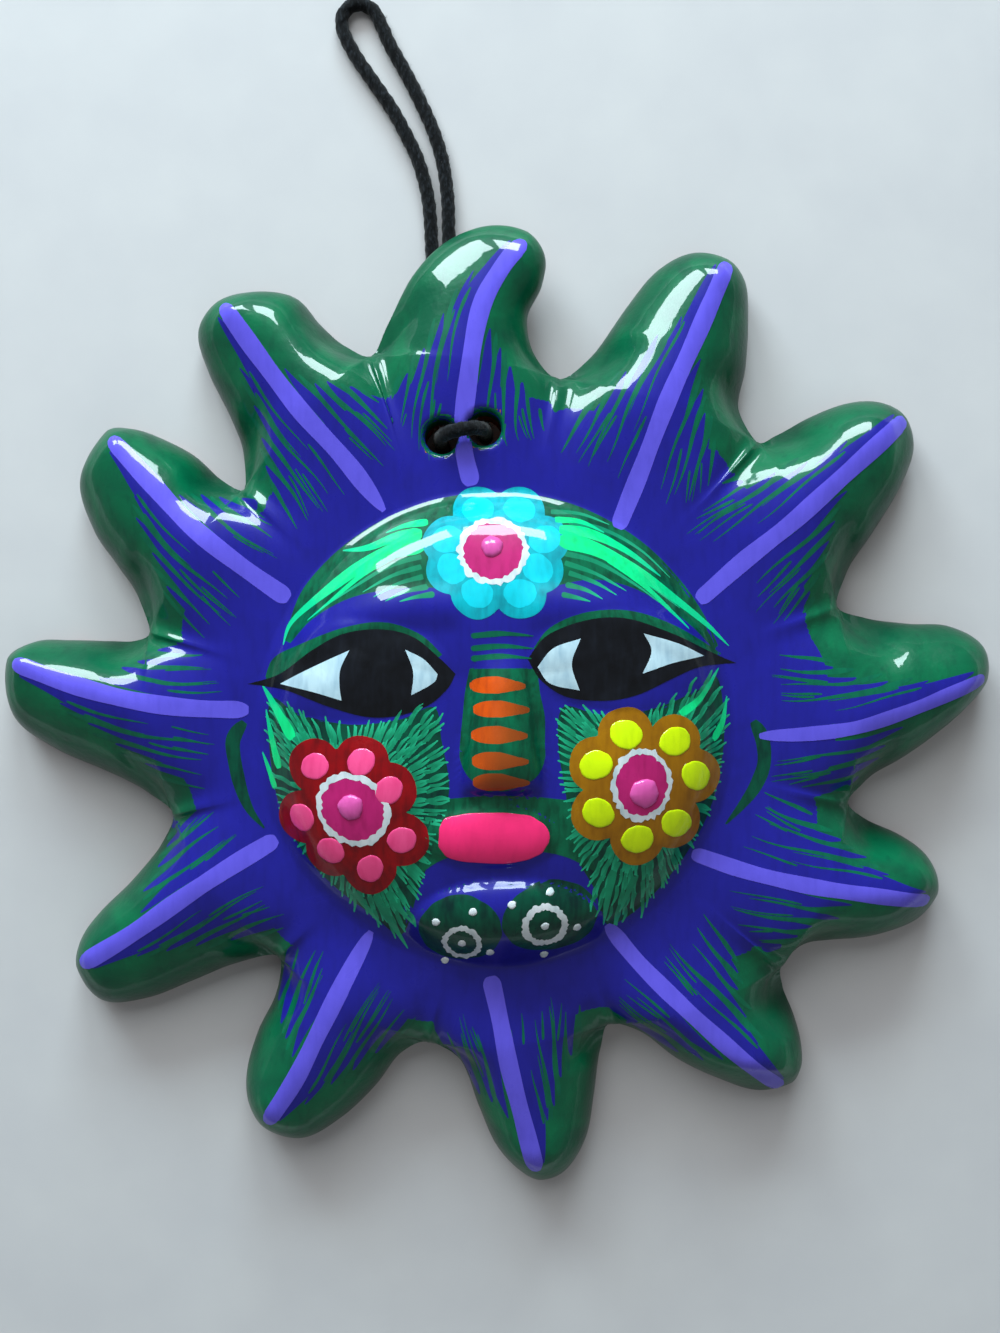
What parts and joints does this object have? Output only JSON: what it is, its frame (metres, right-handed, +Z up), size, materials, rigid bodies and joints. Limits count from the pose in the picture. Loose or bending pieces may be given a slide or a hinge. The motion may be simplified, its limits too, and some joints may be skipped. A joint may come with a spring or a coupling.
{
  "type": "painted sun wall decor",
  "caption": "Hand painted clay sun with a raised face, wavy rays round a collar and a black cord loop to hang it by.",
  "frame": {"origin": "under the middle of the sun, on the surface that it lies on, face up", "axes": "+X to the right as one looks at the face, +Y towards the sun's top and its hanging loop, +Z up out of the face"},
  "size_m": [0.178, 0.2158, 0.0311],
  "materials": {
    "painted_clay": "gloss",
    "black_cord": "matte",
    "blue_paint": "gloss",
    "lilac_paint": "gloss",
    "green_paint": "gloss",
    "leaf_green_paint": "gloss",
    "mint_paint": "gloss",
    "black_paint": "gloss",
    "white_paint": "gloss",
    "orange_paint": "gloss",
    "hot_pink_paint": "gloss",
    "pink_paint": "gloss",
    "magenta_paint": "gloss",
    "red_paint": "gloss",
    "ochre_paint": "gloss",
    "yellow_paint": "gloss",
    "turquoise_paint": "gloss",
    "cyan_paint": "gloss"
  },
  "bodies": {
    "root": {"clay_sun": "painted_clay", "hanging_loop": "black_cord", "front_stitch": "black_cord", "cord_knot": "black_cord", "ray_fields": "blue_paint", "ray_stripes": "lilac_paint", "face_field": "blue_paint", "collar_crescents": "green_paint", "forehead_ground": "green_paint", "forehead_leaves": "leaf_green_paint", "brow_lids": "green_paint", "left_eye_black": "black_paint", "left_eye_whites": "white_paint", "right_eye_black": "black_paint", "right_eye_whites": "white_paint", "nose_ground": "green_paint", "nose_bars": "orange_paint", "mouth_ground": "green_paint", "mouth_paint": "hot_pink_paint", "left_cheek_ground": "green_paint", "left_cheek_strokes": "mint_paint", "right_cheek_ground": "green_paint", "right_cheek_strokes": "mint_paint", "forehead_petals": "turquoise_paint", "forehead_dots": "cyan_paint", "forehead_ring": "white_paint", "forehead_centre": "magenta_paint", "forehead_dab": "pink_paint", "left_petals": "red_paint", "left_dots": "pink_paint", "left_ring": "white_paint", "left_centre": "magenta_paint", "left_dab": "pink_paint", "right_petals": "ochre_paint", "right_dots": "yellow_paint", "right_ring": "white_paint", "right_centre": "magenta_paint", "right_dab": "pink_paint", "chin_lobes": "green_paint", "chin_rings": "white_paint", "chin_dots": "white_paint"}
  },
  "joints": []
}
